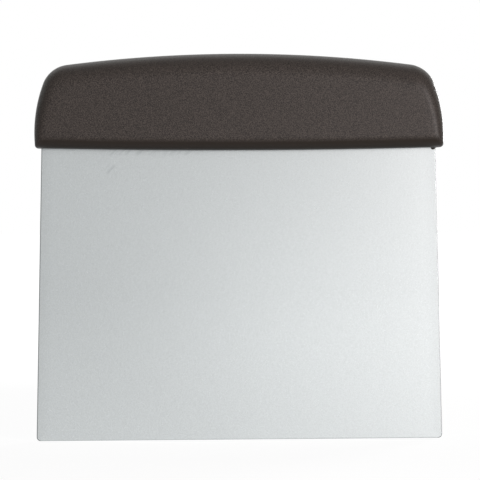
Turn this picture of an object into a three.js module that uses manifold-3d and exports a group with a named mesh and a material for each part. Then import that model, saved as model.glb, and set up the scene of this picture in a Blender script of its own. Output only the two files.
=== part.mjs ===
// Dough scraper: a stainless steel blade with a plastic handle moulded onto its tang.
//
// Sizes are millimetres. The scraper stands on its working edge with the handle up along +Z,
// the blade square to Y and the front towards -Y. The origin is the middle of the working edge.
//
// Both pieces are drawn flat, x across and y up from the working edge, with z towards the front.
// The group that holds them turns the drawing upright.

import * as THREE from 'three';
import { mergeVertices } from 'three/addons/utils/BufferGeometryUtils.js';
import Module from 'manifold-3d';

// Blade, one flat sheet
const BLADE_WIDTH = 150; // along the working edge
const BLADE_FLARE = 2.3; // each side leans out by this much from the handle to the working edge
const BLADE_THICKNESS = 1;
const BLADE_CORNER_RADIUS = 1.5;
const EXPOSED_LENGTH = 106.7; // from the working edge to the middle of the handle's underside

// The part of the sheet that the handle hides
const SEAT_DEPTH = 4; // the full width runs this far up into the handle
const TANG_DEPTH = 22; // the narrower tang runs this far
const TANG_SHOULDER = 9; // step from the full width to the tang, at each end
const TANG_CORNER_RADIUS = 6;
const ANCHOR_HOLE_COUNT = 5;
const ANCHOR_HOLE_DIAMETER = 9;
const ANCHOR_HOLE_DEPTH = 13; // from the underside up to the row of hole centres

// Handle, seen from the front
const HANDLE_HEIGHT = 35.6; // at the middle
const END_WALL = 2.45; // plastic beyond the blade at each end, where the handle is widest
const WIDEST_HEIGHT = 6.5; // above the underside
const TOP_ARC_RADIUS = 500;
const SIDE_ARC_RADIUS = 52;
const SHOULDER_RADIUS = 10.8;
const LOWER_CORNER_RADIUS = 1.2;
const UNDERSIDE_BOW = 0.95; // the underside hangs this much lower at its middle than at its ends

// Handle, seen from the end
const HANDLE_THICKNESS = 18;
const PARTING_LAND = 1; // flat left on top, between the front and back roundings
const SIDE_EDGE_RADIUS = 5;
const LOWER_EDGE_RADIUS = 5;

// Gap between the sheet and the plastic round it
const MOULDED_CLEARANCE = 0.3;

// Fineness of the faceted surfaces
const LONG_ARC_STEPS = 20; // half of the top arc or of the underside
const SIDE_ARC_STEPS = 6;
const SHOULDER_STEPS = 8;
const LOWER_CORNER_STEPS = 4;
const EDGE_STEPS = 7; // around each rounding to the front or back face
const HOLE_STEPS = 24;
const SHEET_CORNER_STEPS = 6;

const wasm = await Module();
wasm.setup();

// Solids and cuts

function solidOf(geometry) {
  const shared = geometry.clone();
  shared.deleteAttribute('normal');
  shared.deleteAttribute('uv');
  const merged = mergeVertices(shared);
  return new wasm.Manifold(new wasm.Mesh({
    numProp: 3,
    vertProperties: new Float32Array(merged.attributes.position.array),
    triVerts: new Uint32Array(merged.index.array),
  }));
}

function geometryOf(solid) {
  const mesh = solid.getMesh();
  const geometry = new THREE.BufferGeometry();
  geometry.setAttribute('position', new THREE.BufferAttribute(new Float32Array(mesh.vertProperties), 3));
  geometry.setIndex(new THREE.BufferAttribute(new Uint32Array(mesh.triVerts), 1));
  geometry.computeVertexNormals();
  return geometry;
}

function plateOf(shape, thickness) {
  const plate = new THREE.ExtrudeGeometry(shape, {
    depth: thickness,
    bevelEnabled: false,
    curveSegments: SHEET_CORNER_STEPS,
  });
  return solidOf(plate.translate(0, 0, -thickness / 2));
}

// Blade

const halfNeck = BLADE_WIDTH / 2 - BLADE_FLARE; // half of the blade's width where it enters the handle
const tangWidth = 2 * (halfNeck - TANG_SHOULDER);

// The sides lean out towards the working edge, so each corner arc turns a little more than a right angle.
function exposedShape() {
  const r = BLADE_CORNER_RADIUS;
  const lean = Math.atan(BLADE_FLARE / EXPOSED_LENGTH);
  const cornerX = BLADE_WIDTH / 2 - r * Math.tan(lean) - r / Math.cos(lean);
  const shape = new THREE.Shape();
  shape.moveTo(halfNeck, EXPOSED_LENGTH);
  shape.lineTo(-halfNeck, EXPOSED_LENGTH);
  shape.absarc(-cornerX, r, r, Math.PI - lean, 1.5 * Math.PI);
  shape.absarc(cornerX, r, r, 1.5 * Math.PI, 2 * Math.PI + lean);
  return shape;
}

// The hidden part of the sheet from its foot upwards, grown by a clearance to make the space for it.
function hiddenShape(foot, clearance) {
  const halfSeat = halfNeck + clearance;
  const halfTang = tangWidth / 2 + clearance;
  const seatTop = EXPOSED_LENGTH + SEAT_DEPTH + clearance;
  const tangTop = EXPOSED_LENGTH + TANG_DEPTH + clearance;
  const r = TANG_CORNER_RADIUS + clearance;

  const shape = new THREE.Shape();
  shape.moveTo(-halfSeat, foot);
  shape.lineTo(halfSeat, foot);
  shape.lineTo(halfSeat, seatTop);
  shape.lineTo(halfTang, seatTop);
  shape.absarc(halfTang - r, tangTop - r, r, 0, 0.5 * Math.PI);
  shape.absarc(-halfTang + r, tangTop - r, r, 0.5 * Math.PI, Math.PI);
  shape.lineTo(-halfTang, seatTop);
  shape.lineTo(-halfSeat, seatTop);
  shape.holes = anchorHoles(ANCHOR_HOLE_DIAMETER / 2 - clearance);
  return shape;
}

// A row of round holes, spread evenly along the tang.
function anchorHoles(radius) {
  const pitch = tangWidth / ANCHOR_HOLE_COUNT;
  const height = EXPOSED_LENGTH + ANCHOR_HOLE_DEPTH;
  const holes = [];
  for (let i = 0; i < ANCHOR_HOLE_COUNT; i++) {
    const x = (i - (ANCHOR_HOLE_COUNT - 1) / 2) * pitch;
    const rim = new THREE.ArcCurve(x, height, radius, 0, 2 * Math.PI, true).getPoints(HOLE_STEPS);
    holes.push(new THREE.Path(rim));
  }
  return holes;
}

function bladeGeometry() {
  const exposed = plateOf(exposedShape(), BLADE_THICKNESS);
  const hidden = plateOf(hiddenShape(EXPOSED_LENGTH, 0), BLADE_THICKNESS);
  return geometryOf(exposed.add(hidden));
}

// Handle outline: three long arcs, the underside, the side and the top, with fillets between them

const halfHandle = halfNeck + END_WALL;
const topEdgeRadius = (HANDLE_THICKNESS - PARTING_LAND) / 2;
const sideEdgeRadius = Math.min(SIDE_EDGE_RADIUS, topEdgeRadius);
const lowerEdgeRadius = Math.min(LOWER_EDGE_RADIUS, topEdgeRadius);
const undersideRadius = (halfHandle ** 2 + UNDERSIDE_BOW ** 2) / (2 * UNDERSIDE_BOW);

function circle(x, y, radius) {
  return { centre: new THREE.Vector2(x, y), radius };
}

// The circle that touches two larger ones from the inside. It lies to the right of the line from
// the first centre to the second.
function filletCircle(first, second, radius) {
  const between = second.centre.clone().sub(first.centre);
  const distance = between.length();
  const reachFirst = first.radius - radius;
  const reachSecond = second.radius - radius;
  const along = (reachFirst ** 2 - reachSecond ** 2 + distance ** 2) / (2 * distance);
  const across = Math.sqrt(reachFirst ** 2 - along ** 2);
  const unit = between.divideScalar(distance);
  return circle(
    first.centre.x + along * unit.x + across * unit.y,
    first.centre.y + along * unit.y - across * unit.x,
    radius,
  );
}

function angleTo(from, to) {
  return Math.atan2(to.centre.y - from.centre.y, to.centre.x - from.centre.x);
}

function arcPoints(arc, start, end, steps) {
  const { centre, radius } = arc;
  return new THREE.ArcCurve(centre.x, centre.y, radius, start, end, end < start).getPoints(steps);
}

// One ring of the handle's surface. The turn runs from 0, on the widest outline, to a right angle,
// on the flat face, and each stretch of the outline draws in by its own edge radius.
function handleRing(turn, face) {
  const drawnIn = 1 - Math.cos(turn);
  const insetLower = lowerEdgeRadius * drawnIn;
  const insetSide = sideEdgeRadius * drawnIn;
  const insetTop = topEdgeRadius * drawnIn;
  const topOfHandle = EXPOSED_LENGTH + HANDLE_HEIGHT;

  const underside = circle(0, EXPOSED_LENGTH + undersideRadius, undersideRadius - insetLower);
  const sideX = halfHandle - SIDE_ARC_RADIUS;
  const side = circle(sideX, EXPOSED_LENGTH + WIDEST_HEIGHT, SIDE_ARC_RADIUS - insetSide);
  const top = circle(0, topOfHandle - TOP_ARC_RADIUS, TOP_ARC_RADIUS - insetTop);
  const lowerCorner = filletCircle(side, underside, LOWER_CORNER_RADIUS);
  const shoulder = filletCircle(top, side, SHOULDER_RADIUS - (insetSide + insetTop) / 2);

  const lowerAngle = angleTo(underside, lowerCorner);
  const sideStart = angleTo(side, lowerCorner);
  const sideEnd = angleTo(side, shoulder);
  const topAngle = angleTo(top, shoulder);
  const stretches = [
    [arcPoints(underside, -0.5 * Math.PI, lowerAngle, LONG_ARC_STEPS), lowerEdgeRadius, lowerEdgeRadius],
    [arcPoints(lowerCorner, lowerAngle, sideStart, LOWER_CORNER_STEPS), lowerEdgeRadius, sideEdgeRadius],
    [arcPoints(side, sideStart, sideEnd, SIDE_ARC_STEPS), sideEdgeRadius, sideEdgeRadius],
    [arcPoints(shoulder, sideEnd, topAngle, SHOULDER_STEPS), sideEdgeRadius, topEdgeRadius],
    [arcPoints(top, topAngle, 0.5 * Math.PI, LONG_ARC_STEPS), topEdgeRadius, topEdgeRadius],
  ];

  const right = [];
  for (const [points, firstEdge, lastEdge] of stretches) {
    const steps = points.length - 1;
    points.slice(0, steps).forEach((point, i) => {
      const edge = THREE.MathUtils.lerp(firstEdge, lastEdge, i / steps);
      const depth = HANDLE_THICKNESS / 2 - edge * (1 - Math.sin(turn));
      right.push(new THREE.Vector3(point.x, point.y, face * depth));
    });
  }
  const apex = new THREE.Vector3(0, topOfHandle - insetTop, right[right.length - 1].z);
  const left = right.slice(1).reverse().map((p) => new THREE.Vector3(-p.x, p.y, p.z));
  return [...right, apex, ...left];
}

// Rings from the back face round to the front face, stitched to their neighbours and capped.
function handleBody() {
  const rings = [];
  for (let i = EDGE_STEPS; i >= 0; i--) {
    rings.push(handleRing((i / EDGE_STEPS) * 0.5 * Math.PI, -1));
  }
  for (let i = 0; i <= EDGE_STEPS; i++) {
    rings.push(handleRing((i / EDGE_STEPS) * 0.5 * Math.PI, 1));
  }

  const count = rings[0].length;
  const index = [];
  for (let r = 0; r < rings.length - 1; r++) {
    for (let i = 0; i < count; i++) {
      const here = r * count + i;
      const beside = r * count + ((i + 1) % count);
      index.push(here, beside, beside + count, here, beside + count, here + count);
    }
  }

  const outline = rings[0].map((p) => new THREE.Vector2(p.x, p.y));
  const lastRing = (rings.length - 1) * count;
  for (const [a, b, c] of THREE.ShapeUtils.triangulateShape(outline, [])) {
    index.push(a, c, b);
    index.push(lastRing + a, lastRing + b, lastRing + c);
  }

  const geometry = new THREE.BufferGeometry().setFromPoints(rings.flat());
  geometry.setIndex(index);
  return geometry;
}

// The space for the sheet is open at the underside. The plastic left standing in it passes through
// the anchor holes and keys the handle to the tang.
function handleGeometry() {
  const belowHandle = EXPOSED_LENGTH - UNDERSIDE_BOW;
  const spaceThickness = BLADE_THICKNESS + 2 * MOULDED_CLEARANCE;
  const space = plateOf(hiddenShape(belowHandle, MOULDED_CLEARANCE), spaceThickness);
  return geometryOf(solidOf(handleBody()).subtract(space));
}

// Assembly

const satinSteel = new THREE.MeshStandardMaterial({ color: 0xcdd1d2, roughness: 0.35, metalness: 1 });
const darkPlastic = new THREE.MeshStandardMaterial({ color: 0x4a4542, roughness: 0.5, metalness: 0 });

const blade = new THREE.Mesh(bladeGeometry(), satinSteel);
blade.name = 'blade';

const handle = new THREE.Mesh(handleGeometry(), darkPlastic);
handle.name = 'handle';

const scraper = new THREE.Group();
scraper.add(blade, handle);
scraper.rotation.x = 0.5 * Math.PI;

export default scraper;
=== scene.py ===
# %% [markdown]
# A dough scraper: a sheet of satin stainless steel with a dark plastic grip moulded across its top.
#
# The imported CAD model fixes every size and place. This lesson loads it as a frame and rebuilds its two
# pieces as finer surfaces, because the CAD handle is made of flat facets and the CAD blade has square
# edges. Then each piece gets its finish. All lengths in the frame are metres, Z is up, and the front of the
# scraper looks towards -Y.

import bpy
import numpy as np
from mathutils import Matrix, Vector


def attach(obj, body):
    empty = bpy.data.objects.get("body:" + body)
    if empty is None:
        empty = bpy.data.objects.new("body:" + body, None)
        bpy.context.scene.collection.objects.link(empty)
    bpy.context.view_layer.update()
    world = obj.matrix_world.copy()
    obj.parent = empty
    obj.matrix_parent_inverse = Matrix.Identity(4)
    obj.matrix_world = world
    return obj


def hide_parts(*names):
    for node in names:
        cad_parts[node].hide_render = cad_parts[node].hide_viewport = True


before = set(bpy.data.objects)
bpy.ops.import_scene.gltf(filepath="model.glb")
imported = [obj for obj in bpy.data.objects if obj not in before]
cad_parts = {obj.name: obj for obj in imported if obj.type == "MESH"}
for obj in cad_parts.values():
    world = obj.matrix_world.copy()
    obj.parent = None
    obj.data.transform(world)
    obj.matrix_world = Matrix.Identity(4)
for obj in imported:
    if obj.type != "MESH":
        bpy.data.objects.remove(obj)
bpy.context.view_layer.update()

MM = 0.001

# %% [markdown]
# The photograph looks almost square at the blade from well away. Its left end is drawn a little larger than
# its right end, as it would be from three degrees to the left, so the camera is a long lens about a metre
# off on that side. It sits level with the upper part of the blade and looks down by about a degree. Blender
# measures a lens against the width of a sensor, so the focal length, which was worked out in pixels of the
# photograph, is turned into millimetres on that sensor.

# %% Camera
PICTURE_PIXELS = 480
FOCAL_PIXELS = 2715
SENSOR_WIDTH = 36
EYE = Vector((-0.0518, -1, 0.095))
PITCH, YAW, ROLL = np.radians((-1.219, -2.978, 0.214))

lens = bpy.data.cameras.new("long_lens")
lens.sensor_width = SENSOR_WIDTH
lens.lens = SENSOR_WIDTH * FOCAL_PIXELS / PICTURE_PIXELS
camera = bpy.data.objects.new("camera", lens)
level = Matrix.Rotation(np.pi / 2, 4, "X")
turned = Matrix.Rotation(YAW, 4, "Z") @ Matrix.Rotation(PITCH, 4, "X") @ Matrix.Rotation(ROLL, 4, "Y")
camera.matrix_world = Matrix.Translation(EYE) @ turned @ level
bpy.context.collection.objects.link(camera)
bpy.context.scene.camera = camera
print("lens", round(lens.lens, 1), "mm")

# %% [markdown]
# Both large pieces are closed skins, and both are made in the same way: a stack of rings, each ring one
# outline of the piece, from the middle of its front face over its edge to the middle of its back face.
# Rings need straight lines and arcs, so those come first. Each stretch leaves out its last point, which is
# the first point of the next stretch. The shapes are drawn in millimetres and become metres when the mesh
# is made.

# %% Lines, arcs and whole outlines


def line(start, end, steps):
    """Points at even steps on a straight line, without the last one: start + share (end - start)."""
    share = np.linspace(0, 1, steps, endpoint=False)[:, None]
    return np.asarray(start) + share * (np.asarray(end) - np.asarray(start))


def arc(centre, radius, start, end, steps):
    """Points at even angles on a circle, without the last one: centre + radius (cos, sin)."""
    angle = np.linspace(start, end, steps, endpoint=False)
    return np.asarray(centre) + radius * np.stack((np.cos(angle), np.sin(angle)), axis=1)


def both_sides(right_half, top):
    """The right half of an outline, its topmost point, and the right half mirrored and run backwards."""
    return np.concatenate((right_half, [top], right_half[:0:-1] * (-1, 1)))


print("quarter circle in three steps", arc((0, 0), 1, 0, np.pi / 2, 3).round(2).tolist())

# %% [markdown]
# A ring surface is a grid: one parameter counts the rings from front to back, the other runs round a ring.
# Each ring is joined to the next one by four-sided faces, and the first and last ring close on a point in
# their middle. Values that belong to the points, such as how worn a rim is, are stored as attributes for
# the materials.

# %% Skin a stack of rings


def ring_skin(name, rings, **point_values):
    """Closed mesh over rings of the shape (ring, point, xyz) in millimetres, front ring first.

    Each face joins a point and the next point of its ring to the same two points of the next ring. The rings
    run anticlockwise as seen from the front, which makes all faces point outwards.
    """
    ring_count, point_count, _ = rings.shape
    here = np.arange(ring_count * point_count).reshape(ring_count, point_count)
    beside = np.roll(here, -1, axis=1)
    walls = np.stack((here[:-1], here[1:], beside[1:], beside[:-1]), axis=-1).reshape(-1, 4)
    front_middle = np.full(point_count, here.size)
    back_middle = front_middle + 1
    front = np.stack((front_middle, here[0], beside[0]), axis=-1)
    back = np.stack((back_middle, beside[-1], here[-1]), axis=-1)
    middles = rings[[0, -1]].mean(axis=1)

    mesh = bpy.data.meshes.new(name)
    points = np.concatenate((rings.reshape(-1, 3), middles)) * MM
    mesh.from_pydata(points, [], walls.tolist() + front.tolist() + back.tolist())
    for value_name, values in point_values.items():
        middle_values = values[[0, -1]].mean(axis=1)
        attribute = mesh.attributes.new(value_name, "FLOAT", "POINT")
        attribute.data.foreach_set("value", np.append(values, middle_values).astype(np.float32))
    mesh.shade_smooth()
    piece = bpy.data.objects.new(name, mesh)
    bpy.context.collection.objects.link(piece)
    print(name, len(mesh.vertices), "points", len(mesh.polygons), "faces")
    return piece


# %% [markdown]
# The blade is one sheet, a little wider at its working edge than at the handle. Its two lower corners are
# rounded, and inside the handle it steps in to a tang that the plastic grips. Its outline is a chain of
# lines and arcs, which could also be drawn as a curve and extruded. Points from formulas keep the corners
# exact.

# %% Blade outline
BLADE_WIDTH = 150
BLADE_FLARE = 2.3
BLADE_CORNER = 1.5
EXPOSED_LENGTH = 106.7
SEAT_DEPTH = 4
TANG_DEPTH = 22
TANG_SHOULDER = 9
TANG_CORNER = 6
SEAT_TOP = EXPOSED_LENGTH + SEAT_DEPTH
TANG_TOP = EXPOSED_LENGTH + TANG_DEPTH
BLADE_STEPS = dict(edge=30, corner=10, side=40, seat=4, shoulder=6, tang=8, tang_corner=8, top=30)


def blade_half():
    """Right half, from the middle of the working edge up to the middle of the tang's top, as lines and arcs.

    The corner is a circle that touches the working edge and the side, which leans out by the flare.
    """
    lean = np.arctan(BLADE_FLARE / EXPOSED_LENGTH)
    corner_x = BLADE_WIDTH / 2 - BLADE_CORNER * (np.tan(lean) + 1 / np.cos(lean))
    side_foot = (corner_x + BLADE_CORNER * np.cos(lean), BLADE_CORNER * (1 + np.sin(lean)))
    neck = BLADE_WIDTH / 2 - BLADE_FLARE
    tang = neck - TANG_SHOULDER
    tang_corner = (tang - TANG_CORNER, TANG_TOP - TANG_CORNER)
    return np.concatenate((
        line((0, 0), (corner_x, 0), BLADE_STEPS["edge"]),
        arc((corner_x, BLADE_CORNER), BLADE_CORNER, -np.pi / 2, lean, BLADE_STEPS["corner"]),
        line(side_foot, (neck, EXPOSED_LENGTH), BLADE_STEPS["side"]),
        line((neck, EXPOSED_LENGTH), (neck, SEAT_TOP), BLADE_STEPS["seat"]),
        line((neck, SEAT_TOP), (tang, SEAT_TOP), BLADE_STEPS["shoulder"]),
        line((tang, SEAT_TOP), (tang, TANG_TOP - TANG_CORNER), BLADE_STEPS["tang"]),
        arc(tang_corner, TANG_CORNER, 0, np.pi / 2, BLADE_STEPS["tang_corner"]),
        line((tang - TANG_CORNER, TANG_TOP), (0, TANG_TOP), BLADE_STEPS["top"]),
    ))


blade_outline = both_sides(blade_half(), (0, TANG_TOP))
print("blade outline", len(blade_outline), "points, size in mm", np.ptp(blade_outline, axis=0).round(2))

# %% [markdown]
# A sheared and tumbled sheet has no sharp edges: they are broken by a rounding of about a third of a
# millimetre. The rounding is rougher than the faces and the cut side, and it is painted darker as shade,
# plainly so up the sides and hardly at the foot. A Bevel modifier could round the edges. Here the rings do
# it, so that they can also carry a value that says where the rounding is. Each ring draws the outline in
# along its own outward direction and stands at its own distance from the sheet's middle plane. One more ring
# lies on the flat beside the rounding, to keep the flat's shading flat. A second value fades in over the
# last few millimetres of the flat at the sides, where a band is painted a little darker as shade.

# %% Blade
HALF_SHEET = 0.5
RIM_RADIUS = 0.3
RIM_RINGS = 8
FLAT_MARGIN = 0.03
# At the foot the rounded edge is painted hardly darker at all.
FOOT_RIM = 0.05
BLADE_MIDDLE = np.array((0, 62))
BLADE_SPREAD = np.array((0.25, 0.5, 0.75, 0.94))


def outward(outline):
    """Unit directions out of an anticlockwise outline: the chord between both neighbours, turned right."""
    chord = np.roll(outline, -1, axis=0) - np.roll(outline, 1, axis=0)
    return np.stack((chord[:, 1], -chord[:, 0]), axis=1) / np.linalg.norm(chord, axis=1, keepdims=True)


def blade_rings():
    """Rings of the sheet, and for each of their points how far it is rim and how far the sides' painted shade
    reaches.

    On the flat a ring is the outline shrunk about the middle. On the rim it is drawn in by radius (1 - cos)
    and stands radius (1 - sin) short of the face. The back mirrors the front.
    """
    turn = np.linspace(np.pi / 2, 0, RIM_RINGS)
    inset = np.concatenate(([RIM_RADIUS + FLAT_MARGIN], RIM_RADIUS * (1 - np.cos(turn))))
    depth = np.concatenate(([HALF_SHEET], HALF_SHEET - RIM_RADIUS * (1 - np.sin(turn))))
    drawn_in = blade_outline - inset[:, None, None] * outward(blade_outline)
    flat = BLADE_MIDDLE + BLADE_SPREAD[:, None, None] * (drawn_in[0] - BLADE_MIDDLE)
    flat_depth = np.full(len(flat), HALF_SHEET)

    outlines = np.concatenate((flat, drawn_in))
    y = np.broadcast_to(-np.concatenate((flat_depth, depth))[:, None], outlines.shape[:2])
    front = np.stack((outlines[..., 0], y, outlines[..., 1]), axis=-1)
    across, along = np.abs(outward(blade_outline)).T
    # The rim value: where the rounded edge is made rougher and painted darker as shade, hardly at the foot.
    rim = np.concatenate((np.zeros(len(flat) + 1), turn > 0))[:, None] * (across + FOOT_RIM * along)
    # A band along the sides, a few millimetres wide, painted a little darker as shade.
    deburred = np.concatenate((np.zeros(len(flat)), np.ones(len(drawn_in))))[:, None] * across
    return (np.concatenate((front, front[::-1] * (1, -1, 1))),
            np.concatenate((rim, rim[::-1])),
            np.concatenate((deburred, deburred[::-1])))


rings, rim, deburred = blade_rings()
blade = ring_skin("blade_sheet", rings, rim=rim, deburred=deburred)

# %% [markdown]
# The handle's outline is five arcs on each side: a slightly bowed underside, a tight lower corner, a long
# swelling side, a round shoulder and a shallow crown. It could be a curve with handles pulled by hand. Here
# the lower corner and the shoulder are fillets, circles that touch both of their neighbours from the
# inside, so the outline stays smooth however far it is drawn in.

# %% Handle outline
HANDLE_HEIGHT = 35.6
HANDLE_TOP = EXPOSED_LENGTH + HANDLE_HEIGHT
END_WALL = 2.44  # a hair less than in the CAD model, to keep the smooth arcs inside its facets' box
HALF_HANDLE = BLADE_WIDTH / 2 - BLADE_FLARE + END_WALL
WIDEST_HEIGHT = 6.5
WIDEST = EXPOSED_LENGTH + WIDEST_HEIGHT
TOP_ARC, SIDE_ARC = 500, 52
SHOULDER_CORNER, LOWER_CORNER = 10.8, 1.2
UNDERSIDE_BOW = 0.95
UNDERSIDE_ARC = (HALF_HANDLE**2 + UNDERSIDE_BOW**2) / (2 * UNDERSIDE_BOW)
HANDLE_STEPS = dict(underside=60, lower_corner=8, side=24, shoulder=24, top=60)


def fillet(first, second, radius):
    """Centre of the circle that touches two larger ones from the inside, right of the line of their centres.

    It lies where two circles round their centres cross, with their radii less the fillet's own.
    """
    (first_centre, first_radius), (second_centre, second_radius) = first, second
    between = second_centre - first_centre
    distance = np.hypot(*between)
    reach, other_reach = first_radius - radius, second_radius - radius
    along = (reach**2 - other_reach**2 + distance**2) / (2 * distance)
    across = np.sqrt(reach**2 - along**2)
    return first_centre + (along * between + across * between[::-1] * (1, -1)) / distance


def towards(circle, point):
    """The angle at which a point lies as seen from the centre of a circle."""
    return np.arctan2(*(point - circle[0])[::-1])


def handle_outline(lower, side, top, sink=0):
    """The outline drawn in by its own length below, at the sides and on top.

    The shoulder takes the mean of the last two. Sinking the circle of the side draws it in less at its foot
    and more at the shoulder.
    """
    underside_circle = (np.array((0, EXPOSED_LENGTH + UNDERSIDE_ARC)), UNDERSIDE_ARC - lower)
    side_circle = (np.array((HALF_HANDLE - SIDE_ARC, WIDEST - sink)), SIDE_ARC - side)
    top_circle = (np.array((0, HANDLE_TOP - TOP_ARC)), TOP_ARC - top)
    shoulder_radius = SHOULDER_CORNER - (side + top) / 2
    corner = fillet(side_circle, underside_circle, LOWER_CORNER)
    shoulder = fillet(top_circle, side_circle, shoulder_radius)
    low, low_side = towards(underside_circle, corner), towards(side_circle, corner)
    high_side, high = towards(side_circle, shoulder), towards(top_circle, shoulder)
    right_half = np.concatenate((
        arc(*underside_circle, -np.pi / 2, low, HANDLE_STEPS["underside"]),
        arc(corner, LOWER_CORNER, low, low_side, HANDLE_STEPS["lower_corner"]),
        arc(*side_circle, low_side, high_side, HANDLE_STEPS["side"]),
        arc(shoulder, shoulder_radius, high_side, high, HANDLE_STEPS["shoulder"]),
        arc(*top_circle, high, np.pi / 2, HANDLE_STEPS["top"]),
    ))
    return both_sides(right_half, (0, HANDLE_TOP - top))


print("handle outline in mm", np.ptp(handle_outline(0, 0, 0), axis=0).round(2))

# %% [markdown]
# From the end, the handle is a bar 18 mm thick with rounded edges: wide roundings on top, smaller ones
# below, and at the sides one that grows upwards. A Bevel modifier would need a weight on every edge for
# that. Here every point of the outline has its own edge radius, and a ring at some angle of the rounding is
# drawn in by radius (1 - cos) and stands radius (1 - sin) short of the face. Where the two halves of the
# mould met, real handles carry a fine raised line round the edge, so the rings there dip a little on both
# sides of it.

# %% Handle shape
HALF_THICKNESS = 9
TOP_EDGE, SIDE_EDGE, LOWER_EDGE = 8.5, 3.8, 5
SIDE_SINK = 5.2
SHOULDER_HEIGHT = 25
SIDE_FOOT_EDGE = SIDE_EDGE - SIDE_SINK * WIDEST_HEIGHT / SIDE_ARC
SIDE_HEAD_EDGE = SIDE_EDGE + SIDE_SINK * (SHOULDER_HEIGHT - WIDEST_HEIGHT) / SIDE_ARC
ROUNDING_RINGS = 15
PARTING_DIP = 0.06
PARTING_PLACES = np.array((-0.34, -0.13, -0.04, 0.04, 0.13, 0.34))
PARTING_DEPTHS = PARTING_DIP * np.array((1, 1, 0, 0, 1, 1))
HANDLE_MIDDLE = np.array((0, 123))
HANDLE_SPREAD = np.array((0.2, 0.4, 0.6, 0.8, 0.95))


def along_outline(lower, side, top, shoulder=None):
    """A value for each point of the outline, which blends evenly over the lower corner and the shoulder.

    Where the shoulder has a value of its own, the value also blends up the side, from the side's to that one.
    """
    if shoulder is None:
        shoulder = side
    firsts = dict(underside=lower, lower_corner=lower, side=side, shoulder=shoulder, top=top)
    lasts = dict(underside=lower, lower_corner=side, side=shoulder, shoulder=top, top=top)
    right = np.concatenate([
        np.linspace(firsts[stretch], lasts[stretch], steps, endpoint=False)
        for stretch, steps in HANDLE_STEPS.items()
    ])
    return np.concatenate((right, [top], right[:0:-1]))


turns = np.linspace(np.pi / 2, 0, ROUNDING_RINGS)
curl = 1 - np.cos(turns)
edge_radius = along_outline(LOWER_EDGE, SIDE_FOOT_EDGE, TOP_EDGE, SIDE_HEAD_EDGE)


def handle_rings():
    """Front face and rounding, the strip with the parting line, then the rounding and face again at the back.

    On the face a ring is the outline of the rounding's first ring, shrunk about the middle.
    """
    edges = np.array((LOWER_EDGE, SIDE_EDGE, TOP_EDGE, SIDE_SINK))
    drawn_in = np.array([handle_outline(*edges * share) for share in curl])
    short = edge_radius * (1 - np.sin(turns))[:, None]
    flat = HANDLE_MIDDLE + HANDLE_SPREAD[:, None, None] * (drawn_in[0] - HANDLE_MIDDLE)
    outlines = np.concatenate((flat, drawn_in))
    y = np.concatenate((np.full(flat.shape[:2], -HALF_THICKNESS), short - HALF_THICKNESS))
    front = np.stack((outlines[..., 0], y, outlines[..., 1]), axis=-1)

    strip = np.array([handle_outline(dip, dip, dip) for dip in PARTING_DEPTHS])
    strip_y = np.broadcast_to(PARTING_PLACES[:, None], strip.shape[:2])
    strip = np.stack((strip[..., 0], strip_y, strip[..., 1]), axis=-1)
    return np.concatenate((front, strip, front[::-1] * (1, -1, 1)))


rings = handle_rings()
print(len(rings), "rings, edge radius in mm from", edge_radius.min().round(2), "to", edge_radius.max())

# %% [markdown]
# The mould was spark-eroded, which prints a fine grain on the plastic. It is full on the faces and fades over
# the roundings, where the darker smooth colour that shows is partly painted shade, most of all below. How
# much grain there is, from 1 down to a least share that differs on top, at the sides and below, is stored
# at the points. So is a painted highlight: the outermost millimetre or so of the handle is painted paler,
# most on top, widest on the shoulders, less down the sides and not at all below. Both could be painted by
# hand as weights, and formulas along the outline keep them even.

# %% Handle with its grain, painted shade and painted highlight
# Painted shade: below, the grain fades sooner and goes to nothing, so the underside's rounding is darkest.
TOP_FADE, SIDE_FADE, LOWER_FADE_SHADED = 0.75, 0.83, 0.895
TOP_GRAIN, SIDE_GRAIN, LOWER_GRAIN_SHADED = 0.52, 0.5, 0
# Painted highlight: how much of the paler edge colour each part gets, and over how many millimetres.
TOP_HIGHLIGHT, SHOULDER_HIGHLIGHT, SIDE_HIGHLIGHT, LOWER_HIGHLIGHT = 1, 1, 0.35, 0
TOP_HIGHLIGHT_WIDTH, SHOULDER_HIGHLIGHT_WIDTH, SIDE_HIGHLIGHT_WIDTH = 1.15, 2.2, 1.3


def rounding_grain_and_shade():
    """Grain share on the rounding, from 1 at the face to the least share; where it fades, painted shade
    shows.
    """
    fade = along_outline(LOWER_FADE_SHADED, SIDE_FADE, TOP_FADE)
    least = along_outline(LOWER_GRAIN_SHADED, SIDE_GRAIN, TOP_GRAIN)
    return least + (1 - least) * np.clip((np.sin(turns)[:, None] - fade) / (1 - fade), 0, 1)


def rounding_highlight():
    """Painted highlight on the rounding: full over the outer half of its width, then falling evenly to
    nothing.
    """
    inside = edge_radius * curl[:, None]
    width = along_outline(SIDE_HIGHLIGHT_WIDTH, SIDE_HIGHLIGHT_WIDTH, TOP_HIGHLIGHT_WIDTH, SHOULDER_HIGHLIGHT_WIDTH)
    edge_effect = np.clip(2 - 2 * inside / width, 0, 1)
    return along_outline(LOWER_HIGHLIGHT, SIDE_HIGHLIGHT, TOP_HIGHLIGHT, SHOULDER_HIGHLIGHT) * edge_effect


def over_handle(face, rounding):
    """A value for all rings: one for the whole face, the rounding's own, and its last one on the strip."""
    flat = np.full((len(HANDLE_SPREAD), rounding.shape[1]), face)
    front = np.concatenate((flat, rounding))
    strip = np.broadcast_to(rounding[-1], (len(PARTING_PLACES), rounding.shape[1]))
    return np.concatenate((front, strip, front[::-1]))


# The grain value also decides where the painted shade of the smooth colour shows.
grain = over_handle(1, rounding_grain_and_shade())
# The highlight value: a painted highlight along the upper edges of the handle.
rubbed = over_handle(0, rounding_highlight())
handle = ring_skin("handle_moulding", rings, grain=grain, rubbed=rubbed)

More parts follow.
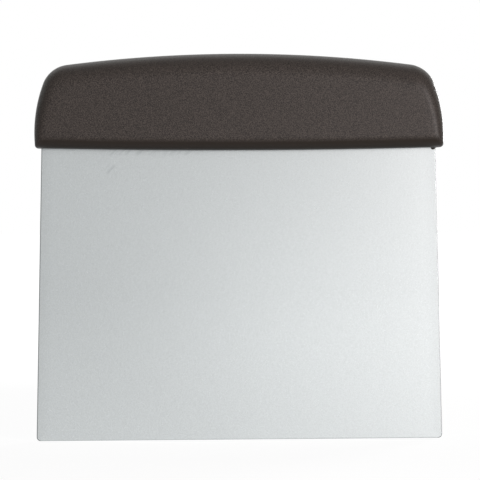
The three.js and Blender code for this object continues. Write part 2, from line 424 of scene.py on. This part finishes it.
# %% [markdown]
# A little plastic has crept out of the mould between handle and blade at the right end and set as a small
# dark tongue. A squashed sphere could stand for it. This one is a quarter of an egg: one angle goes from
# its tip up to its rim, which is inside the handle, the other goes round it, and the half that would sink
# into the blade is pressed flat against its face.

# %% Flash at the right end of the handle
FLASH_MIDDLE = np.array((72.08, -0.56, 108.2))
FLASH_SIZE = np.array((1.1, 0.75, 1.4))
FLASH_LEAN = 0.35
FLASH_TIP = 0.02
FLASH_RINGS, FLASH_POINTS = 10, 32


def flash_rings():
    """Quarter egg: each place is middle + size (x, y, z), with a lift from tip to rim and a turn round it.

    x = sin lift cos turn - lean cos lift, y = -sin lift sin turn or 0 at the flat back, and z = -cos lift.
    """
    lift = np.linspace(FLASH_TIP, np.pi / 2, FLASH_RINGS)[:, None]
    turn = np.linspace(0, 2 * np.pi, FLASH_POINTS, endpoint=False)
    x = np.sin(lift) * np.cos(turn) - FLASH_LEAN * np.cos(lift)
    y = -np.sin(lift) * np.clip(np.sin(turn), 0, 1)
    z = np.broadcast_to(-np.cos(lift), x.shape)
    return FLASH_MIDDLE + FLASH_SIZE * np.stack((x, y, z), axis=-1)


rings = flash_rings()
nowhere = np.zeros(rings.shape[:2])
flash = ring_skin("handle_flash", rings, grain=nowhere, rubbed=nowhere)

# %% [markdown]
# Now the finishes. Both pieces have a very fine grain: the steel a faint mottling from rolling, the plastic
# the print of a spark-eroded mould. One noise texture can make both, so it is a node group with a named
# socket for the number of grains in a metre, and each material places it with its own number. It is fixed
# to the piece by the Object output of the Texture Coordinate node, so it doesn't swim when the camera
# moves.

# %% Fine grain, shared by both finishes
GRAIN_DETAIL = 3
GRAIN_DETAIL_STRENGTH = 0.6


def add_node(tree, kind, **settings):
    """A new shader node of a kind, with its own settings, such as a Math node's operation."""
    node = tree.nodes.new("ShaderNode" + kind)
    for name, value in settings.items():
        setattr(node, name, value)
    return node


def object_place(tree):
    """The place on the piece, in metres, at which the shader is asked for a colour."""
    return add_node(tree, "TexCoord").outputs["Object"]


def fine_grain_group():
    """Group with the input Grains per metre and the output Height, a detailed noise about one half."""
    group = bpy.data.node_groups.new("fine_grain", "ShaderNodeTree")
    group.interface.new_socket("Grains per metre", in_out="INPUT", socket_type="NodeSocketFloat")
    group.interface.new_socket("Height", in_out="OUTPUT", socket_type="NodeSocketFloat")
    start = group.nodes.new("NodeGroupInput")
    end = group.nodes.new("NodeGroupOutput")
    noise = add_node(group, "TexNoise")
    noise.inputs["Detail"].default_value = GRAIN_DETAIL
    noise.inputs["Roughness"].default_value = GRAIN_DETAIL_STRENGTH
    group.links.new(object_place(group), noise.inputs["Vector"])
    group.links.new(start.outputs["Grains per metre"], noise.inputs["Scale"])
    group.links.new(noise.outputs["Fac"], end.inputs["Height"])
    return group


fine_grain = fine_grain_group()
print("node group", fine_grain.name, "with", len(fine_grain.nodes), "nodes")

# %% [markdown]
# A material is a small network, and the same few steps come back in each: place the grain, read a value
# that was stored at the points, move a value to another range, bring two values together, mix or scale
# colours, and tilt the surface with a bump. Each step is a short function that adds its nodes to a tree.
# All but the bump, which links itself to the shader, return the socket that carries the result.

# %% Steps of a material


def new_material(name, **constants):
    """A node material and its Principled shader, with all that is the same all over set on its sockets."""
    material = bpy.data.materials.new(name)
    material.use_nodes = True
    shader = material.node_tree.nodes["Principled BSDF"]
    for socket, value in constants.items():
        shader.inputs[socket.replace("_", " ")].default_value = value
    return material, material.node_tree, shader


def add_grain(tree, grains_per_metre):
    """The height of the fine grain."""
    node = add_node(tree, "Group", node_tree=fine_grain)
    node.inputs["Grains per metre"].default_value = grains_per_metre
    return node.outputs["Height"]


def add_stored(tree, name):
    """The value that a ring skin stored at its points."""
    return add_node(tree, "Attribute", attribute_name=name).outputs["Fac"]


def add_range(tree, value, low, high, to_low, to_high):
    """A value moved from one range to another and held inside it."""
    node = add_node(tree, "MapRange")
    tree.links.new(value, node.inputs["Value"])
    for label, number in zip(("From Min", "From Max", "To Min", "To Max"), (low, high, to_low, to_high)):
        node.inputs[label].default_value = number
    return node.outputs["Result"]


def add_math(tree, operation, first, second):
    """Two values brought together by one operation of the Math node."""
    node = add_node(tree, "Math", operation=operation)
    tree.links.new(first, node.inputs[0])
    tree.links.new(second, node.inputs[1])
    return node.outputs["Value"]


def add_scaled(tree, colour, factor):
    """A colour made paler or darker by a factor that varies over the surface."""
    node = add_node(tree, "VectorMath", operation="SCALE")
    tree.links.new(colour, node.inputs["Vector"])
    tree.links.new(factor, node.inputs["Scale"])
    return node.outputs["Vector"]


def add_mix(tree, share, first, second):
    """A colour from the first to the second as the share goes from 0 to 1. Either may be a socket."""
    mix = add_node(tree, "Mix", data_type="RGBA")
    tree.links.new(share, mix.inputs["Factor"])
    for label, colour in (("A", first), ("B", second)):
        socket = next(s for s in mix.inputs if s.name == label and s.type == "RGBA")
        if isinstance(colour, bpy.types.NodeSocket):
            tree.links.new(colour, socket)
        else:
            socket.default_value = (*colour, 1)
    return next(s for s in mix.outputs if s.type == "RGBA")


def add_bump(tree, shader, height, strength, distance):
    """A height that tilts the surface's normals; a height of 1 stands out by the distance, in metres."""
    bump = add_node(tree, "Bump")
    bump.inputs["Strength"].default_value = strength
    bump.inputs["Distance"].default_value = distance
    tree.links.new(height, bump.inputs["Height"])
    tree.links.new(bump.outputs["Normal"], shader.inputs["Normal"])


# %% [markdown]
# A few faint smears slant over the steel just under the handle, as a wipe with a damp cloth leaves them.
# They could be painted on an image, but a mask of nodes stays sharp at any distance. Noise that is read
# along the one direction across the smears makes streaks that never end, and two windows with soft sides
# cut them off.

# %% Smears under the handle
SMEAR_SLANT = np.radians(45)
SMEARS_PER_METRE = 560
SMEAR_STRENGTH = 0.5
SMEAR_START, SMEAR_FULL = 0.42, 0.66
SMEAR_WINDOWS = (
    (("X", -0.0515, -0.0480), ("X", -0.0110, -0.0160), ("Y", 0, -0.0004), ("Z", 0.1048, 0.1056)),
    (("X", -0.0492, -0.0482), ("X", -0.0448, -0.0460), ("Y", 0, -0.0004),
     ("Z", 0.0972, 0.0984), ("Z", 0.1022, 0.1010)),
)


def add_smears(tree):
    """Share of smearing: noise on the distance across slanting lines, inside windows on the blade's front.

    A side of a window is an axis, the place in metres where nothing shows yet, and that of full strength.
    """
    place = object_place(tree)
    across = add_node(tree, "VectorMath", operation="DOT_PRODUCT")
    across.inputs[1].default_value = (np.sin(SMEAR_SLANT), 0, -np.cos(SMEAR_SLANT))
    tree.links.new(place, across.inputs[0])
    streaks = add_node(tree, "TexNoise", noise_dimensions="1D")
    streaks.inputs["Scale"].default_value = SMEARS_PER_METRE
    tree.links.new(across.outputs["Value"], streaks.inputs["W"])
    axes = add_node(tree, "SeparateXYZ")
    tree.links.new(place, axes.inputs["Vector"])
    shares = []
    for window in SMEAR_WINDOWS:
        share = add_range(tree, streaks.outputs["Fac"], SMEAR_START, SMEAR_FULL, 0, SMEAR_STRENGTH)
        for axis, nothing, full in window:
            side = add_range(tree, axes.outputs[axis], nothing, full, 0, 1)
            share = add_math(tree, "MULTIPLY", share, side)
        shares.append(share)
    return add_math(tree, "MAXIMUM", *shares)


print(len(SMEAR_WINDOWS), "windows of smears")

# %% [markdown]
# Satin stainless steel is a metal with blurred reflections, so its brightness is mostly that of its
# surroundings. Its colour is a pale grey with a trace of blue, and the fine mottling makes it waver by a few
# parts in a hundred. Low on the blade the colour is painted paler, a painted glow for the light that rises
# from the foot. Bands along the sides are painted a little darker as shade, and on the rounded edge a much
# darker colour is painted shade, while the edge's higher roughness is real. A strong bump could also make
# the mottling, but in a metal this smooth it would break up the soft reflections, so the bump is very shallow
# and the same mottling goes into the colour and the roughness.

# %% Satin steel
STEEL = (0.437, 0.460, 0.464)
# Painted glow: the paler steel colour low on the blade, standing for light that rises from the foot.
STEEL_FOOT_GLOW = (0.488, 0.513, 0.517)
STEEL_SMEARED = (0.32, 0.34, 0.345)
# Painted shade: the much darker colour of the sheet's rounded edge.
STEEL_RIM_SHADE = (0.200, 0.211, 0.214)
FOOT_GLOW_FROM, FOOT_GLOW_BY = 0.055, 0.004
# Painted shade: the bands along the sides are painted this much darker.
SIDE_SHADE_TONE = 0.945
MOTTLES_PER_METRE = 2600
MOTTLING_SPAN = (0.3, 0.7)
MOTTLED_TONES = (0.914, 1.086)
SATIN_ROUGHNESS = (0.31, 0.27)
RIM_FULL = 0.3
RIM_DULLING = 0.05
STEEL_BUMP = dict(strength=0.3, distance=0.00002)


def satin_steel():
    """Mottled metal with smears under the handle, a painted glow low down and painted shade at sides and
    edge.
    """
    material, tree, shader = new_material("satin_steel", Metallic=1.0)
    axes = add_node(tree, "SeparateXYZ")
    tree.links.new(object_place(tree), axes.inputs["Vector"])
    # Painted glow: the colour grows paler towards the working edge, from 55 mm above it down to 4 mm.
    foot_glow = add_range(tree, axes.outputs["Z"], FOOT_GLOW_FROM, FOOT_GLOW_BY, 0, 1)
    steel = add_mix(tree, foot_glow, STEEL, STEEL_FOOT_GLOW)
    mottling = add_grain(tree, MOTTLES_PER_METRE)
    waver = add_range(tree, mottling, *MOTTLING_SPAN, *MOTTLED_TONES)
    # Painted shade: the bands along the sides are darkened.
    sides = add_range(tree, add_stored(tree, "deburred"), 0, 1, 1, SIDE_SHADE_TONE)
    toned = add_scaled(tree, steel, add_math(tree, "MULTIPLY", waver, sides))
    face = add_mix(tree, add_smears(tree), toned, STEEL_SMEARED)
    # The rounded edge is painted darker as shade, and its roughness rises as well.
    dull_and_shaded = add_range(tree, add_stored(tree, "rim"), 0, RIM_FULL, 0, 1)
    tree.links.new(add_mix(tree, dull_and_shaded, face, STEEL_RIM_SHADE), shader.inputs["Base Color"])
    satin = add_range(tree, mottling, *MOTTLING_SPAN, *SATIN_ROUGHNESS)
    edge_effect = add_range(tree, dull_and_shaded, 0, 1, 0, RIM_DULLING)
    tree.links.new(add_math(tree, "ADD", satin, edge_effect), shader.inputs["Roughness"])
    add_bump(tree, shader, mottling, **STEEL_BUMP)
    return material


blade.data.materials.append(satin_steel())
print("blade finish", blade.data.materials[0].name)

# %% [markdown]
# The plastic is a brown-black that looks greyer on its faces, because each grain of the spark-eroded print
# has a pale top and a dark foot. Where the grain fades on the roundings, the smooth plastic shows darker and
# browner; that colour is partly painted shade, darkest on the underside's rounding, where no grain is left.
# Along the upper edges the tops of the grains are painted paler, as a painted highlight. The same height
# also drives a Bump node, so that the grain breaks up the shine. Real dents in the mesh would need millions
# of faces for the same look.

# %% Grained plastic
GRAIN_FOOT = (0.0086, 0.0071, 0.0063)
GRAIN_TOP = (0.1055, 0.0879, 0.0781)
# Smooth plastic, dark and brown; on the roundings this colour is partly painted shade.
SMOOTH_AND_SHADED = (0.0190, 0.0122, 0.0078)
# Painted highlight: the pale colour of the grain tops along the handle's upper edges.
PAINTED_HIGHLIGHT = (0.122, 0.117, 0.107)
GRAINS_PER_METRE = 3200
SPECK_SPAN = (0.38, 0.62)
SMOOTH_ROUGHNESS, GRAIN_ROUGHNESS = 0.34, 0.44
PLASTIC_SHINE = 0.2
PLASTIC_BUMP = dict(strength=0.5, distance=0.00006)


def grained_plastic():
    """Pale specks where the grain is full; painted shade where it fades; a painted highlight on upper edges.
    """
    material, tree, shader = new_material("grained_plastic", Specular_IOR_Level=PLASTIC_SHINE)
    height = add_grain(tree, GRAINS_PER_METRE)
    specks = add_range(tree, height, *SPECK_SPAN, 0, 1)
    grained = add_mix(tree, specks, GRAIN_FOOT, GRAIN_TOP)
    faces = add_stored(tree, "grain")
    # Where the grain fades, the smooth colour shows, which is partly painted shade.
    moulded = add_mix(tree, faces, SMOOTH_AND_SHADED, grained)
    # Painted highlight: the grain tops along the upper edges are painted paler.
    edge_effect = add_mix(tree, specks, SMOOTH_AND_SHADED, PAINTED_HIGHLIGHT)
    tree.links.new(add_mix(tree, add_stored(tree, "rubbed"), moulded, edge_effect), shader.inputs["Base Color"])
    roughness = add_range(tree, faces, 0, 1, SMOOTH_ROUGHNESS, GRAIN_ROUGHNESS)
    tree.links.new(roughness, shader.inputs["Roughness"])
    add_bump(tree, shader, height, **PLASTIC_BUMP)
    return material


plastic = grained_plastic()
handle.data.materials.append(plastic)
flash.data.materials.append(plastic)
print("handle finish", plastic.name)

# %% [markdown]
# Each finished piece is tied to the frame: it rides the one rigid body of the scraper and stands in for the
# CAD node that it redraws, which is hidden. The table also names a finish for each piece, which this loop
# does not use. The flash is part of the same moulding as the handle.

# %% Put the pieces on the frame
for piece, node, finish in (
    (blade, "blade", "blade_steel"),
    (handle, "handle", "handle_plastic"),
    (flash, "handle", "handle_plastic"),
):
    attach(piece, "root")
    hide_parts(node)
    print(piece.name, "stands for", node)

# %% [markdown]
# The photograph's background is plain white, with hardly a shadow. A floor lit to white would also throw
# its light on the scraper, so the floor is a plain grey that only looks white: its material glows for the
# rays that come from the camera or from a reflection, and stays grey for the light that fills in. Close to
# the scraper it glows a little less, so that the soft shadow there is kept.

# %% Floor
FLOOR_HALF = 4.0
FLOOR_COLOUR = (0.25, 0.25, 0.25, 1)
WHITE = (1, 1, 1, 1)
WHITE_FROM, WHITE_BY = 0.25, 0.7
NEAR_GLOW = 0.88


def seen_rays(tree):
    """1 for camera, glossy and transmission rays, which show the white; 0 for light that fills in."""
    rays = add_node(tree, "LightPath").outputs
    seen = add_math(tree, "MAXIMUM", rays["Is Camera Ray"], rays["Is Glossy Ray"])
    return add_math(tree, "MAXIMUM", seen, rays["Is Transmission Ray"])


def pale_floor():
    """Matt grey that glows white when seen: fully in reflections and far off, less near the scraper."""
    material, tree, shader = new_material("pale_floor", Base_Color=FLOOR_COLOUR, Roughness=1.0,
                                          Specular_IOR_Level=0, Emission_Color=WHITE)
    away = add_node(tree, "VectorMath", operation="LENGTH")
    tree.links.new(object_place(tree), away.inputs[0])
    glow = add_range(tree, away.outputs["Value"], WHITE_FROM, WHITE_BY, NEAR_GLOW, 1)
    mirrored = add_node(tree, "LightPath").outputs["Is Glossy Ray"]
    strength = add_math(tree, "MULTIPLY", seen_rays(tree), add_math(tree, "MAXIMUM", mirrored, glow))
    tree.links.new(strength, shader.inputs["Emission Strength"])
    return material


floor_mesh = bpy.data.meshes.new("floor")
corners = FLOOR_HALF * np.array(((-1, -1, 0), (1, -1, 0), (1, 1, 0), (-1, 1, 0)))
floor_mesh.from_pydata(corners, [], [(0, 1, 2, 3)])
floor_mesh.materials.append(pale_floor())
floor = bpy.data.objects.new("floor", floor_mesh)
bpy.context.collection.objects.link(floor)
print("floor", 2 * FLOOR_HALF, "m wide")

# %% [markdown]
# The world does the same above the floor: it looks white in the picture and in the steel, and gives only a
# weak, even light, which fills in where the lamps don't reach.

# %% World
AMBIENT = 0.22

world = bpy.data.worlds.new("studio")
world.use_nodes = True
background = world.node_tree.nodes["Background"]
background.inputs["Color"].default_value = WHITE
brightness = add_range(world.node_tree, seen_rays(world.node_tree), 0, 1, AMBIENT, 1)
world.node_tree.links.new(brightness, background.inputs["Strength"])
bpy.context.scene.world = world
print("world light", AMBIENT)

# %% [markdown]
# In the photograph the blade is palest at its right, so a softbox stands off to the right, where the satin
# face reflects it. Two low bars, nearly level with the working edge, add the paler glow that spreads up
# from the foot of the blade. A wide strip behind and above draws the pale line along the handle's upper
# edge, and another softbox lights the back. So close to a thing this small, a few watts are enough. The
# Standard view transform shows the colours as they are, without the contrast of a film.

# %% Lamps


def softbox(name, place, target, size, watts, colour=(1, 1, 1)):
    """A rectangular area lamp at a place, facing a target."""
    lamp = bpy.data.lights.new(name, "AREA")
    lamp.shape = "RECTANGLE"
    lamp.size, lamp.size_y = size
    lamp.energy = watts
    lamp.color = colour
    box = bpy.data.objects.new(name, lamp)
    box.location = place
    box.rotation_euler = (Vector(target) - Vector(place)).to_track_quat("-Z", "Y").to_euler()
    box.visible_camera = False
    bpy.context.collection.objects.link(box)
    print(name, watts, "W")


softbox("key_softbox", place=(0.562, -0.941, 0.142), target=(0, 0, 0.1), size=(0.185, 0.267), watts=7.0,
        colour=(1, 0.93, 0.92))
softbox("side_bar", place=(0.412, -0.70, 0.026), target=(0, 0, 0.026), size=(0.229, 0.036), watts=0.144)
softbox("low_bar", place=(0.072, -0.50, 0.022), target=(0, 0, 0.022), size=(0.135, 0.03), watts=0.024)
softbox("back_strip", place=(0, 0.55, 0.95), target=(0, 0, 0.12), size=(1.4, 0.3), watts=1.1)
softbox("back_softbox", place=(0.55, 0.85, 0.2), target=(0, 0, 0.1), size=(0.3, 0.3), watts=4.0)
bpy.context.scene.view_settings.view_transform = "Standard"
